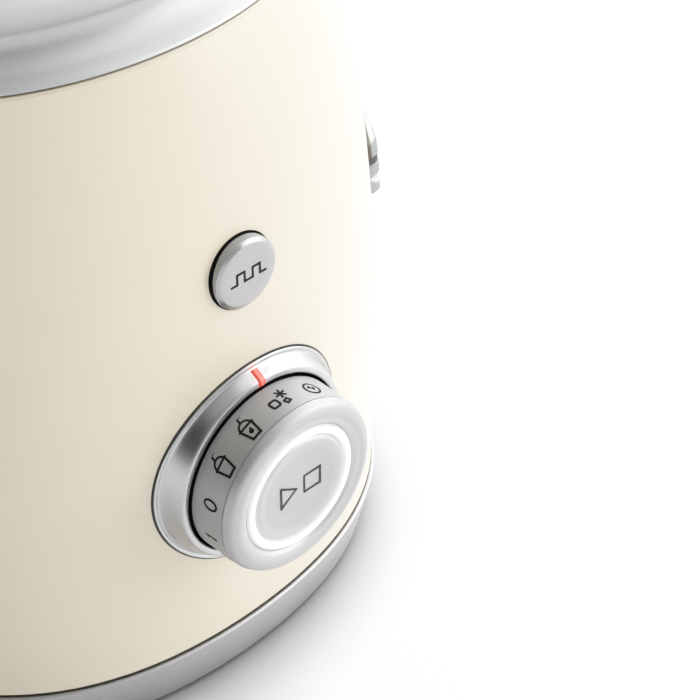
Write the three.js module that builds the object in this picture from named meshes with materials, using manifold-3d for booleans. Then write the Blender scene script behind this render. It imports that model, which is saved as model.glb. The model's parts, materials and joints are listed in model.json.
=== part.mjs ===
// Countertop blender: a rounded-square painted body on a metal base ring, a program dial with a
// start button at its centre, a pulse button, and a lift-off jug with its blades and lid.
// Millimetres, +Z up. The origin is on the motor axis at the underside of the base, and the
// controls face -Y, the jug's handle +X and its spout -X.
import * as THREE from 'three';
import { mergeVertices } from 'three/addons/utils/BufferGeometryUtils.js';
import Module from 'manifold-3d';

const wasm = await Module();
wasm.setup();

// ---- Driving dimensions ----
const GAP = 0.3; // air left between two pieces that touch
const ROUND = 28; // facets round the large turned pieces
const DIAL_ROUND = 20; // round the dial and what is inside it
const SMALL_ROUND = 12; // round shafts, bearings and feet
const TINY_ROUND = 8; // and round screws, posts and their holes

const BODY_R = 80; // body radius at its lower edge
const BODY_BOTTOM = 13.9;
const BODY_TOP = 160.5;
const BODY_WALL = 2.6;
const SQUARE_LOW = -0.024; // how far the plan is from round: low on the body
const SQUARE_HIGH = -0.016; // and at its top
const SQUARE_RELIEF = 0.036; // the sides swell a little between the two, most near the pulse button

const DIAL_Z = 62.7; // height of the dial's axis
const DIAL_R = 21.15; // dial skirt
const BEZEL_R = 26.3;
const BEZEL_LIP = 82.5; // how far the bezel's lip stands from the motor axis
const DIAL_FRONT = 94.4; // and the dial's rim
const HUB_R = 12; // fixed tube that the dial turns on
const BUTTON_R = 12.9; // start button
const START_TRAVEL = 1.5;

const PULSE_Z = 112.1;
const PULSE_HOLE_R = 8.55;
const PULSE_R = 8.2;
const PULSE_FRONT = 79.6; // how far the middle of its dome stands from the motor axis

const SHAFT_R = 4; // motor shaft
const SHAFT_BORE = SHAFT_R + GAP;
const BLADE_SHAFT_R = 3.5;
const BLADE_BORE = BLADE_SHAFT_R + GAP;

const COLLAR_BOTTOM = BODY_TOP;
const COLLAR_TOP = 191.5;
const JUG_BOTTOM = 174.3;
const JUG_FLOOR = 178;
const JUG_TOP = 370;
const JUG_WALL = 3;
const LID_TOP = 390;

// ---- Finishes ----
const FINISH = {
  cream: { color: 0xece4cd, roughness: 0.3, metalness: 0 },
  satinSilver: { color: 0xc4c4c3, roughness: 0.35, metalness: 0.9 },
  brightSilver: { color: 0xdadada, roughness: 0.12, metalness: 1 },
  steel: { color: 0xb9bbbd, roughness: 0.25, metalness: 1 },
  copper: { color: 0xb06a3a, roughness: 0.35, metalness: 1 },
  brass: { color: 0xc9a75a, roughness: 0.3, metalness: 1 },
  carbon: { color: 0x2a2a2c, roughness: 0.7, metalness: 0 },
  darkPlastic: { color: 0x35363a, roughness: 0.55, metalness: 0 },
  boardGreen: { color: 0x2f6b45, roughness: 0.5, metalness: 0 },
  rubber: { color: 0x4a4b4d, roughness: 0.8, metalness: 0 },
  litWhite: { color: 0xffffff, roughness: 0.4, metalness: 0 },
  litRed: { color: 0xff4a2a, roughness: 0.3, metalness: 0 },
  clear: { color: 0xe9f0f0, roughness: 0.05, metalness: 0, transparent: true, opacity: 0.35 },
};

// ---- Shape helpers ----

// A solid of revolution about Z. The profile is [radius, height] points, counter-clockwise
// with the radius to the right; it starts and ends on the axis, or closes on itself.
function turned(profile, segments = ROUND) {
  const points = profile.map(([r, z]) => new THREE.Vector2(r, z));
  const onAxis = profile[0][0] === 0 && profile.at(-1)[0] === 0;
  if (!onAxis) points.push(points[0].clone());
  return new THREE.LatheGeometry(points, segments).rotateX(Math.PI / 2);
}

function cylinder(radius, low, high, segments = SMALL_ROUND) {
  return turned([[0, low], [radius, low], [radius, high], [0, high]], segments);
}

function tube(inner, outer, low, high, segments = SMALL_ROUND) {
  return turned([[inner, low], [outer, low], [outer, high], [inner, high]], segments);
}

// Points of an arc, in degrees, for a profile or an outline.
function arc(centreX, centreY, radius, from, to, steps) {
  return Array.from({ length: steps + 1 }, (_, i) => {
    const angle = THREE.MathUtils.degToRad(from + ((to - from) * i) / steps);
    return [centreX + radius * Math.cos(angle), centreY + radius * Math.sin(angle)];
  });
}

function box(width, depth, height, x, y, z) {
  return new THREE.BoxGeometry(width, depth, height).translate(x, y, z);
}

function outline(points) {
  return new THREE.Shape(points.map(([x, y]) => new THREE.Vector2(x, y)));
}

function roundedRectangle(width, height, radius, steps = 3) {
  const x = width / 2 - radius;
  const y = height / 2 - radius;
  return [
    ...arc(x, -y, radius, -90, 0, steps),
    ...arc(x, y, radius, 0, 90, steps),
    ...arc(-x, y, radius, 90, 180, steps),
    ...arc(-x, -y, radius, 180, 270, steps),
  ];
}

// A wheel's outline with square teeth: tips at one radius, gaps at another.
function toothed(rootR, tipR, count, toothShare) {
  const pitch = 360 / count;
  const half = (pitch * toothShare) / 2;
  return Array.from({ length: count }, (_, i) => [
    ...arc(0, 0, rootR, i * pitch - pitch + half, i * pitch - half, 1),
    ...arc(0, 0, tipR, i * pitch - half, i * pitch + half, 1),
  ]).flat();
}

function prism(points, low, high, holes = []) {
  const shape = outline(points);
  shape.holes = holes.map((hole) => new THREE.Path(outline(hole).getPoints()));
  const settings = { depth: high - low, bevelEnabled: false };
  return new THREE.ExtrudeGeometry(shape, settings).translate(0, 0, low);
}

// ---- Joins and cuts ----

function solidOf(geometry) {
  const bare = geometry.clone();
  bare.deleteAttribute('normal');
  bare.deleteAttribute('uv');
  const merged = mergeVertices(bare, 1e-4);
  const index = merged.index.array;
  const triVerts = [];
  for (let i = 0; i < index.length; i += 3) {
    const [a, b, c] = [index[i], index[i + 1], index[i + 2]];
    if (a !== b && b !== c && c !== a) triVerts.push(a, b, c);
  }
  const vertProperties = new Float32Array(merged.attributes.position.array);
  return new wasm.Manifold(
    new wasm.Mesh({ numProp: 3, vertProperties, triVerts: new Uint32Array(triVerts) }),
  );
}

function geometryOf(solid) {
  const mesh = solid.getMesh();
  const geometry = new THREE.BufferGeometry();
  geometry.setAttribute('position', new THREE.BufferAttribute(mesh.vertProperties, 3));
  geometry.setIndex(new THREE.BufferAttribute(mesh.triVerts, 1));
  return geometry;
}

function join(...pieces) {
  return geometryOf(pieces.map(solidOf).reduce((sum, piece) => sum.add(piece)));
}

function cut(geometry, ...tools) {
  return geometryOf(tools.map(solidOf).reduce((rest, tool) => rest.subtract(tool), solidOf(geometry)));
}

function common(first, second) {
  return geometryOf(solidOf(first).intersect(solidOf(second)));
}

// ---- The body's outer surface, which other pieces sit on ----

function bodyShare(z) {
  return THREE.MathUtils.clamp((z - BODY_BOTTOM) / (BODY_TOP - BODY_BOTTOM), 0, 1);
}

// Nearly upright to half height, then drawing in to the collar.
function bodyRadius(z) {
  const t = bodyShare(z);
  return BODY_R - 0.1 * t + 16.5 * t ** 2 - 29.3 * t ** 3;
}

// The plan is a circle pulled in on its four sides. Pieces near the axis stay round.
const ROUND_WITHIN = 30;
const SQUARE_BEYOND = 50;

function squared(geometry) {
  const position = geometry.attributes.position;
  for (let i = 0; i < position.count; i++) {
    const [x, y, z] = [position.getX(i), position.getY(i), position.getZ(i)];
    const t = bodyShare(z);
    const pull = THREE.MathUtils.lerp(SQUARE_LOW, SQUARE_HIGH, t) + SQUARE_RELIEF * t ** 2 * (1 - t);
    const share = THREE.MathUtils.smoothstep(Math.hypot(x, y), ROUND_WITHIN, SQUARE_BEYOND);
    const factor = 1 + pull * share * Math.cos(4 * Math.atan2(y, x));
    position.setXY(i, x * factor, y * factor);
  }
  return geometry;
}

const BODY_LEVELS = [15.2, 40, 62, 84, 104, 122, 138, 150, 159.4];

function bodySolid(offset) {
  const side = BODY_LEVELS.map((z) => [bodyRadius(z) + offset, z]);
  return squared(turned([[0, BODY_LEVELS[0]], ...side, [0, BODY_LEVELS.at(-1)]]));
}

// ---- Scene graph ----

const blender = new THREE.Group();

function add(name, geometry, finish, parent = blender) {
  const mesh = new THREE.Mesh(geometry, new THREE.MeshStandardMaterial(FINISH[finish]));
  mesh.name = name;
  parent.add(mesh);
  return mesh;
}

// A frame whose +Z points out of a side of the body, at a given height. Its +Y stays up on
// the front, and points down at the back.
function sideFrame(height, turn) {
  const frame = new THREE.Group();
  frame.position.z = height;
  frame.rotation.x = turn;
  blender.add(frame);
  return frame;
}

// The body's outer solid as seen from such a frame.
function bodySeenFrom(frame, offset) {
  return bodySolid(offset).translate(0, 0, -frame.position.z).rotateX(-frame.rotation.x);
}

const dialFrame = sideFrame(DIAL_Z, Math.PI / 2);
const pulseFrame = sideFrame(PULSE_Z, Math.PI / 2);
const GLAND_Z = 30;
const glandFrame = sideFrame(GLAND_Z, -Math.PI / 2);

// The four corners of a rectangle, and the four points at one distance along the axes.
function corners(x, y) {
  return [[x, y], [-x, y], [-x, -y], [x, -y]];
}

function crossPoints(distance) {
  return [[distance, 0], [0, distance], [-distance, 0], [0, -distance]];
}

// ---- Base ring, body shell and underside ----

const DIAL_HOLE_R = 23.6;
const GLAND_HOLE_R = 6.9;
const RING_TOP = 13.4;

function addHousing() {
  const ring = [
    [73.4, 0.3], [77.6, 0], [78.1, 0.5], [80.9, 12.4], [80.6, 13.1], [79.9, RING_TOP],
    [76.4, RING_TOP], [76.4, 19], [73.4, 19],
  ];
  add('base_ring', squared(turned(ring)), 'satinSilver');

  const outside = BODY_LEVELS.map((z) => [bodyRadius(z), z]);
  const inside = BODY_LEVELS.filter((_, i) => i % 2 === 0).map((z) => [bodyRadius(z) - BODY_WALL, z]);
  const low = BODY_BOTTOM;
  const high = BODY_TOP - GAP;
  const edges = {
    bottom: [[bodyRadius(low) - BODY_WALL, low], [bodyRadius(low) - 0.7, low]],
    top: [[bodyRadius(high) - 0.7, high], [bodyRadius(high) - BODY_WALL, high]],
  };
  const shell = squared(turned([...edges.bottom, ...outside, ...edges.top, ...inside.reverse()]));
  const holeLow = 60;
  const holeHigh = 90;
  const place = (hole, frame) => hole.rotateX(frame.rotation.x).translate(0, 0, frame.position.z);
  const cutters = [
    place(cylinder(DIAL_HOLE_R, holeLow, holeHigh, DIAL_ROUND), dialFrame),
    place(cylinder(PULSE_HOLE_R, holeLow, holeHigh, DIAL_ROUND), pulseFrame),
    place(cylinder(GLAND_HOLE_R, holeLow, holeHigh), glandFrame),
  ];
  add('body_shell', cut(shell, ...cutters), 'cream');
}

const FOOT_AT = 43; // feet, along x and y
const SCREW_AT = 50; // screws and the pillars that they enter, out along each axis
const PLATE_TOP = 3;

function addUnderside() {
  const plate = squared(turned([[0, 0], [73.1 - GAP, 0], [73.1 - GAP, PLATE_TOP], [0, PLATE_TOP]]));
  const holes = [
    ...corners(FOOT_AT, FOOT_AT).map(([x, y]) => cylinder(4.2, -1, 5, TINY_ROUND).translate(x, y, 0)),
    ...crossPoints(SCREW_AT).map(([x, y]) =>
      turned([[0, -1], [3.8, -1], [3.8, 1.8], [2, 1.8], [2, 5], [0, 5]], TINY_ROUND).translate(x, y, 0)),
  ];
  const slots = 8;
  for (let i = 0; i < slots; i++) {
    const slot = box(14, 4.5, 8, 24, 0, 0).rotateZ((2 * Math.PI * (i + 0.5)) / slots);
    holes.push(slot);
  }
  add('bottom_plate', cut(plate, ...holes), 'darkPlastic');

  const foot = [[0, -2], [8.6, -2], [9, -GAP], [3.8, -GAP], [3.8, 3.4], [5.2, 3.4], [4, 5], [0, 5]];
  corners(FOOT_AT, FOOT_AT).forEach(([x, y], i) => {
    add(`foot_${i + 1}`, turned(foot, SMALL_ROUND), 'rubber').position.set(x, y, 0);
  });

  const screw = [[0, 0.3], [2.8, 0.3], [3.4, 0.8], [3.4, 1.5], [1.5, 1.5], [1.5, 14], [0, 15]];
  crossPoints(SCREW_AT).forEach(([x, y], i) => {
    add(`base_screw_${i + 1}`, turned(screw, TINY_ROUND), 'steel').position.set(x, y, 0);
  });
}

function addSeatDeck() {
  const deck = [
    [12, 150], [56.5, 150], [56.5, 155.8], [63.4, 155.8], [63.4, 160.2], [54.6, 160.2],
    [54.6, 153], [14.5, 153], [14.5, 156.3], [12, 156.3],
  ];
  add('seat_deck', squared(turned(deck)), 'darkPlastic');
  add('reed_switch', box(14, 4, 4, 0, 45, 147.5), 'darkPlastic');
}

// ---- Motor and its frame ----

const STATOR_LOW = 34;
const STATOR_HIGH = 74;
const STUD = [35, 31]; // posts at the stator's corners; through bolts run in two of them
const LOWER_FRAME = [22, 26]; // the two bearing plates, low and high faces
const UPPER_FRAME = [98, 102];
const BEARING_R = 8;

function addMotorFrame() {
  const bore = cylinder(BEARING_R + GAP, 0, 120);
  const studHoles = corners(...STUD).map(([x, y]) => cylinder(2.4, 0, 120, TINY_ROUND).translate(x, y, 0));
  const pillars = crossPoints(SCREW_AT).map(([x, y]) =>
    tube(1.9, 4.5, PLATE_TOP + GAP, LOWER_FRAME[1], TINY_ROUND).translate(x, y, 0));
  const pads = corners(...STUD).map(([x, y]) =>
    cylinder(4.5, LOWER_FRAME[0], STATOR_LOW - GAP, TINY_ROUND).translate(x, y, 0));
  const pillarHoles = crossPoints(SCREW_AT).map(([x, y]) =>
    cylinder(1.9, 0, LOWER_FRAME[0] - 2, TINY_ROUND).translate(x, y, 0));
  const lower = join(cylinder(SCREW_AT + 4, ...LOWER_FRAME, ROUND), ...pillars, ...pads);
  add('motor_frame_lower', cut(lower, bore, ...studHoles, ...pillarHoles), 'steel');

  const posts = corners(...STUD).map(([x, y]) =>
    cylinder(4.5, STATOR_HIGH + GAP, UPPER_FRAME[1], TINY_ROUND).translate(x, y, 0));
  const upper = join(prism(roundedRectangle(80, 72, 6), ...UPPER_FRAME), ...posts);
  add('motor_frame_upper', cut(upper, bore, ...studHoles), 'steel');

  const stud = [[0, 19.5], [3.8, 19.5], [3.8, 21.7], [2, 21.7], [2, 104], [0, 104]];
  [1, -1].forEach((sign, i) => {
    const mesh = add(`motor_stud_${i + 1}`, turned(stud, TINY_ROUND), 'steel');
    mesh.position.set(sign * STUD[0], sign * STUD[1], 0);
  });
  add('lower_bearing', tube(SHAFT_BORE, BEARING_R, LOWER_FRAME[0] - 1, LOWER_FRAME[1] + 1), 'brass');
  add('upper_bearing', tube(SHAFT_BORE, BEARING_R, UPPER_FRAME[0] - 1, UPPER_FRAME[1] + 1), 'brass');
}

const BORE_R = 21.5; // stator bore
const POLE_HALF = 15; // half the width of a pole's neck
const WINDOW = [31, 27]; // half width and half depth of the winding windows

function addStator() {
  const meet = THREE.MathUtils.radToDeg(Math.acos(POLE_HALF / BORE_R));
  const half = [
    [WINDOW[0], WINDOW[1]], [POLE_HALF, WINDOW[1]],
    ...arc(0, 0, BORE_R, meet, 180 - meet, 8),
    [-POLE_HALF, WINDOW[1]], [-WINDOW[0], WINDOW[1]],
  ];
  const windows = [...half, ...half.map(([x, y]) => [-x, -y])];
  const core = prism(roundedRectangle(78, 70, 6), STATOR_LOW, STATOR_HIGH, [windows]);
  const studHoles = corners(...STUD).map(([x, y]) => cylinder(2.4, 0, 120, TINY_ROUND).translate(x, y, 0));
  add('stator_core', cut(core, ...studHoles), 'steel');

  const coilHeight = 53;
  const coilDepth = 9.4;
  const neck = { width: 2 * (POLE_HALF + GAP), height: STATOR_HIGH - STATOR_LOW + 2 * GAP };
  const coil = prism(
    roundedRectangle(48, coilHeight, 9), 0, coilDepth, [roundedRectangle(neck.width, neck.height, 0.1, 1)],
  );
  const middle = (STATOR_LOW + STATOR_HIGH) / 2;
  [['field_coil_front', -17], ['field_coil_rear', 17 + coilDepth]].forEach(([name, y]) => {
    const mesh = add(name, coil, 'copper');
    mesh.rotation.x = Math.PI / 2;
    mesh.position.set(0, y, middle);
  });
}

function addRotor() {
  add('motor_shaft', cylinder(SHAFT_R, 6, 158), 'steel');

  const core = prism(toothed(15, 20.9, 12, 0.7), STATOR_LOW + 1, STATOR_HIGH - 1);
  const winding = (low, high) => turned([
    [0, low + 1], [13, low], [15.6, low + 3], [15.6, high - 3], [13, high], [0, high - 1],
  ], SMALL_ROUND);
  const bore = cylinder(SHAFT_BORE, 0, 120);
  add('rotor_core', cut(join(core, winding(27.5, 81)), bore), 'copper');
  add('commutator', cut(prism(toothed(9.6, 10.6, 16, 0.8), 84, 96), bore), 'copper');

  const paddles = prism(toothed(10, 33, 10, 0.12), 8, 17.5);
  const backPlate = cylinder(34, 17, 19, DIAL_ROUND);
  add('cooling_fan', cut(join(paddles, backPlate), bore), 'darkPlastic');

  const star = prism(toothed(6, 9.8, 6, 0.5), 156, 163);
  const hub = cylinder(10.4, 146, 156.5);
  add('drive_coupling', cut(join(hub, star), cylinder(SHAFT_BORE, 140, 158.4)), 'rubber');
}

function addBrushes() {
  const height = 90;
  [['left', -1], ['right', 1]].forEach(([side, sign]) => {
    add(`brush_${side}`, box(16, 5, 5, sign * 19, 0, height), 'carbon');
    const holder = cut(box(18, 9, 9, sign * 23, 0, height), box(30, 5.8, 5.8, sign * 23, 0, height));
    add(`brush_holder_${side}`, holder, 'brass');
  });
}

// ---- Controls ----

const CARRIER = [54, 57]; // plate that holds the controls, measured out from the motor axis
const BOARD = [47, 48.6];
const SWITCH_TIP = 62;

// The bezel's flare: from the painted surface up to the lip next to the dial.
const BEZEL_INNER = DIAL_R + 0.45;
const FLARE = [
  [BEZEL_R, 79.3], [25.9, 79.7], [24.6, 80.2], [23.4, 81.2], [22.6, 82.3],
  [BEZEL_INNER + 0.4, BEZEL_LIP], [BEZEL_INNER, BEZEL_LIP - 0.3],
];

function addControlFrame() {
  const board = roundedRectangle(52, 84, 3);
  const middle = (DIAL_Z + PULSE_Z) / 2;
  const carrierHoles = [DIAL_Z, PULSE_Z].map((z) => arc(0, z - middle, 7.8, 0, 345, 23));
  const frame = sideFrame(middle, Math.PI / 2);
  add('control_carrier', prism(board, ...CARRIER, carrierHoles), 'darkPlastic', frame);
  const keys = [DIAL_Z, PULSE_Z].flatMap((z) => [
    box(10, 10, 8, 0, z - middle, BOARD[1] + 3),
    cylinder(3, BOARD[1] + 2, SWITCH_TIP).translate(0, z - middle, 0),
  ]);
  add('control_board', join(prism(board, ...BOARD), ...keys), 'boardGreen', frame);
}

function addDial() {
  const neckR = DIAL_HOLE_R - 0.4;
  const ring = [[BEZEL_INNER, 66], [neckR, 66], [neckR, 70], [BEZEL_R, 70], ...FLARE];
  const surround = cut(bodySeenFrom(dialFrame, GAP), cylinder(neckR + 0.1, 50, 90, DIAL_ROUND));
  const slot = box(3, 3, 40, 0, 23.7, 80);
  add('dial_bezel', cut(turned(ring, DIAL_ROUND), surround, slot), 'brightSilver', dialFrame);

  const pipe = join(box(2.4, 2.4, 10, 0, 23.7, 84.2), box(2.4, 0.6, 14, 0, 22.8, 73));
  const under = turned([[0, 60], [BEZEL_R, 60], ...FLARE, [0, BEZEL_LIP - 0.3]], DIAL_ROUND);
  add('dial_light', common(pipe, under), 'litRed', dialFrame);

  const dial = [
    [HUB_R + 0.4, 64], [14.4, 64], [14.4, 84.5], [18.9, 84.5], [19.1, 66], [DIAL_R, 66],
    [DIAL_R, BEZEL_LIP], ...arc(18, DIAL_FRONT - 3, 2.95, 0, 90, 4),
    [16.4, 94.1], [15.6, 93.2], [15.6, 88], [HUB_R + 0.4, 88],
  ];
  add('program_dial', turned(dial, DIAL_ROUND), 'satinSilver', dialFrame);
  const wheelBore = cylinder(15.2, 60, 75, DIAL_ROUND);
  add('encoder_wheel', cut(prism(toothed(17.4, 18.6, 18, 0.5), 66, 69), wheelBore), 'darkPlastic', dialFrame);

  const hub = [
    [9.2, CARRIER[1] + GAP], [16, CARRIER[1] + GAP], [16, 60], [HUB_R, 60], [HUB_R, 90.3], [9.2, 90.3],
  ];
  add('dial_hub', turned(hub, DIAL_ROUND), 'darkPlastic', dialFrame);
  const lit = [
    [HUB_R + GAP, 88.4], [15.2, 88.4], ...arc(14.2, 93.2, 1, 0, 180, 3), [13.2, 90], [HUB_R + GAP, 90],
  ];
  add('light_ring', turned(lit, DIAL_ROUND), 'litWhite', dialFrame);

  const button = [
    [0, SWITCH_TIP + START_TRAVEL + 0.5], [8.8, SWITCH_TIP + START_TRAVEL + 0.5], [8.8, 92.2],
    [BUTTON_R, 92.2], [BUTTON_R, 93.3], [12.4, 93.8], [11.2, 93.5], [6, 93.1], [0, 93],
  ];
  add('start_stop_button', turned(button, DIAL_ROUND), 'satinSilver', dialFrame);
}

function addPulse() {
  const button = [
    [0, 64.5], [5, 64.5], [5, 70], [PULSE_R, 70], [PULSE_R, PULSE_FRONT - 1.8],
    [PULSE_R - 0.4, PULSE_FRONT - 1.1], [6.9, PULSE_FRONT - 0.9], [4.5, PULSE_FRONT - 0.4], [0, PULSE_FRONT],
  ];
  add('pulse_button', turned(button, DIAL_ROUND), 'satinSilver', pulseFrame);
}

// ---- Trim and cord inlet ----

const BADGE = { width: 104, height: 19.5, middle: 96.3, proud: 2.9 };

function addBadge() {
  const skin = cut(bodySolid(BADGE.proud), bodySolid(GAP));
  const plan = prism(roundedRectangle(BADGE.width, BADGE.height, 4), 40, 100);
  const window = plan.rotateY(Math.PI / 2).rotateX(Math.PI / 2).translate(0, 0, BADGE.middle);
  add('trim_badge', common(skin, window), 'brightSilver');
}

function addCordInlet() {
  const bore = 4.6;
  const flange = cut(
    turned([[bore, 70], [9.5, 70], [9.5, 79.6], [8, 81], [bore, 81]], SMALL_ROUND),
    bodySeenFrom(glandFrame, GAP),
  );
  const neck = tube(bore, GLAND_HOLE_R - 0.4, 66, 79.5);
  const nut = tube(bore, 9.5, 66, 73.5);
  add('cord_gland', join(flange, neck, nut), 'rubber', glandFrame);
}

// ---- Jug, blades and lid ----

// The jug widens steadily from the collar to its rim.
const JUG_NECK = { z: 193, r: 57.5 };
const JUG_RIM_R = 68.5;

function jugRadius(z) {
  const t = THREE.MathUtils.clamp((z - JUG_NECK.z) / (JUG_TOP - JUG_NECK.z), 0, 1);
  return THREE.MathUtils.lerp(JUG_NECK.r, JUG_RIM_R, t ** 0.85);
}

// The spout is the rim pushed out at -X.
const SPOUT = { reach: 13, from: 318, halfAngle: 0.42 };

function spouted(geometry) {
  const position = geometry.attributes.position;
  for (let i = 0; i < position.count; i++) {
    const [x, y, z] = [position.getX(i), position.getY(i), position.getZ(i)];
    const aside = Math.atan2(y, -x) / SPOUT.halfAngle;
    const across = Math.abs(aside) < 1 ? Math.cos((aside * Math.PI) / 2) ** 2 : 0;
    const up = THREE.MathUtils.clamp((z - SPOUT.from) / (JUG_TOP - SPOUT.from), 0, 1) ** 2;
    position.setX(i, x - SPOUT.reach * across * up);
  }
  return geometry;
}

const JUG_LEVELS = [JUG_NECK.z, 230, 280, 325, 350, JUG_TOP - 1];
const HUB_HOLE = 23.8; // hole in the jug's floor and the collar's web

function addJug() {
  const collar = [
    [HUB_HOLE, 171], [50, 171], [50, 155.8], [53.8, 155.8], [53.8, COLLAR_BOTTOM],
    [67.1, COLLAR_BOTTOM], [67.1, COLLAR_BOTTOM + 0.8], [62.4, 164], [58.9, 167.3],
    [59.3, 175], [58.1, COLLAR_TOP - 1], [57.4, COLLAR_TOP],
    [56.1, COLLAR_TOP], [56.1, JUG_BOTTOM - GAP], [HUB_HOLE, JUG_BOTTOM - GAP],
  ];
  add('jug_collar', squared(turned(collar)), 'satinSilver');
  add('jug_magnet', box(10, 4, 3, 0, 45, 169), 'steel');

  const outside = JUG_LEVELS.map((z) => [jugRadius(z), z]);
  const inside = JUG_LEVELS.map((z) => [jugRadius(z) - JUG_WALL, z]).reverse();
  const jug = [
    [HUB_HOLE, JUG_BOTTOM], [54, JUG_BOTTOM], [55.7, 176], [55.7, 192], ...outside,
    [JUG_RIM_R - 0.8, JUG_TOP], [JUG_RIM_R - JUG_WALL + 0.8, JUG_TOP], ...inside,
    [52.6, 190], [51, 181.5], [47, JUG_FLOOR], [HUB_HOLE, JUG_FLOOR],
  ];
  add('jug_body', spouted(squared(turned(jug))), 'clear');
}

const HANDLE = { width: 22, low: 204, high: 352, reach: 110 };

function addHandle() {
  const bar = 15;
  const out = HANDLE.reach;
  const outer = [
    [50, HANDLE.low], ...arc(out - 20, HANDLE.low + 20, 20, -90, 0, 5),
    ...arc(out - 20, HANDLE.high - 20, 20, 0, 90, 5), [50, HANDLE.high],
  ];
  const inner = [
    [50, HANDLE.low + bar], ...arc(out - bar - 8, HANDLE.low + bar + 8, 8, -90, 0, 3),
    ...arc(out - bar - 8, HANDLE.high - bar - 8, 8, 0, 90, 3), [50, HANDLE.high - bar],
  ];
  const grip = prism([...outer, ...inner.reverse()], -HANDLE.width / 2, HANDLE.width / 2);
  const upright = grip.rotateX(Math.PI / 2);
  const side = [HANDLE.low - 8, ...JUG_LEVELS.slice(1, -1), JUG_TOP].map((z) => [jugRadius(z) + GAP, z]);
  const jugOutside = squared(turned([[0, side[0][1]], ...side, [0, JUG_TOP]]));
  add('jug_handle', cut(upright, jugOutside), 'satinSilver');
}

function addBladeUnit() {
  const hub = [
    [7, 168], [HUB_HOLE - 0.4, 168], [HUB_HOLE - 0.4, 179.9], [30, 179.9], [30, 182], [24, 185],
    [13, 190.5], [7, 190.5],
  ];
  add('blade_hub', turned(hub, DIAL_ROUND), 'steel');
  add('hub_gasket', tube(HUB_HOLE, 29, JUG_FLOOR + GAP, 179.6, DIAL_ROUND), 'rubber');
  const nut = cut(prism(toothed(31, 34, 8, 0.5), 164.5, 170.7), cylinder(HUB_HOLE, 160, 175, DIAL_ROUND));
  add('hub_nut', nut, 'darkPlastic');
  add('blade_bush', tube(BLADE_BORE, 6.7, 168.3, 186), 'brass');
  add('blade_seal', tube(BLADE_BORE, 6.7, 186.3, 190.2), 'rubber');
  add('blade_shaft', cylinder(BLADE_SHAFT_R, 164.5, 202), 'steel');

  const socket = cut(
    cylinder(13.4, 157.4, 167.5), prism(toothed(6.6, 10.4, 6, 0.62), 150, 164),
    cylinder(BLADE_BORE, 150, 170),
  );
  add('driven_coupling', socket, 'darkPlastic');

  const nutCap = [
    [BLADE_BORE, 196.8], [5.6, 196.8], [5.6, 200], ...arc(0, 200, 5.6, 20, 70, 2), [0, 206], [0, 203],
    [BLADE_BORE, 203],
  ];
  add('blade_nut', turned([...nutCap.slice(-2), ...nutCap.slice(0, -2)], SMALL_ROUND), 'steel');
}

// A stamped blade: a disc with two wings, which rise or fall from the bend by an angle.
const BLADE_THICK = 1.6;

function stampedBlade(length, slope, low) {
  const bend = 7;
  const reach = length - bend;
  const outlineFromBend = [[0, -6], [16, -7.5], [reach, -1], [reach - 3, 4], [14, 6.5], [0, 6]];
  const wing = prism(outlineFromBend, 0, BLADE_THICK).rotateY(-slope).translate(bend, 0, low);
  const disc = cylinder(9, low, low + BLADE_THICK, DIAL_ROUND);
  const bore = cylinder(BLADE_BORE, low - 10, low + 10);
  return cut(join(disc, wing, wing.clone().rotateZ(Math.PI)), bore);
}

function addBlades() {
  add('lower_blade', stampedBlade(38, -0.12, 192.6), 'steel');
  add('upper_blade', stampedBlade(34, 0.55, 194.9), 'steel').rotation.z = Math.PI / 2;
}

function addLid() {
  const rim = JUG_TOP + GAP;
  const plug = 61.2;
  const lid = [
    [plug - 3, JUG_TOP - 9], [plug, JUG_TOP - 9], [plug, rim], [JUG_RIM_R + 2, rim],
    [JUG_RIM_R + 2, rim + 4.5], [JUG_RIM_R, rim + 8], [58, LID_TOP - 5], [26.5, LID_TOP],
    [22.3, LID_TOP], [22.3, LID_TOP - 5], [44, LID_TOP - 7], [plug - 3, LID_TOP - 13],
  ];
  add('lid', squared(turned(lid)), 'satinSilver');
  const lipOut = JUG_RIM_R - JUG_WALL - 0.8;
  const gasket = [
    [plug + GAP, 363], [lipOut - 1.4, 363], [lipOut, 366], [lipOut - 1.4, 367], [lipOut - 1.4, 369],
    [plug + GAP, 369],
  ];
  add('lid_gasket', squared(turned(gasket)), 'rubber');
  const cap = [
    [0, LID_TOP + 3.5], [19.4, LID_TOP + 3.5], [19.4, LID_TOP - 20], [21.6, LID_TOP - 20],
    [21.8, LID_TOP + GAP], [25.4, LID_TOP + GAP], [25.4, LID_TOP + 3.6], [23, LID_TOP + 6],
    [0, LID_TOP + 6],
  ];
  add('filler_cap', turned(cap, DIAL_ROUND), 'clear');
}

addHousing();
addUnderside();
addSeatDeck();
addMotorFrame();
addStator();
addRotor();
addBrushes();
addControlFrame();
addDial();
addPulse();
addBadge();
addCordInlet();
addJug();
addHandle();
addBladeUnit();
addBlades();
addLid();

export default blender;
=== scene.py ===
"""Countertop blender: the looks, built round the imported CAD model.

Metres, +Z up, in the CAD's frame: the motor axis is the Z axis, the controls face -Y, the jug's
handle is on +X and its spout on -X.
"""
import json
import math

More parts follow.
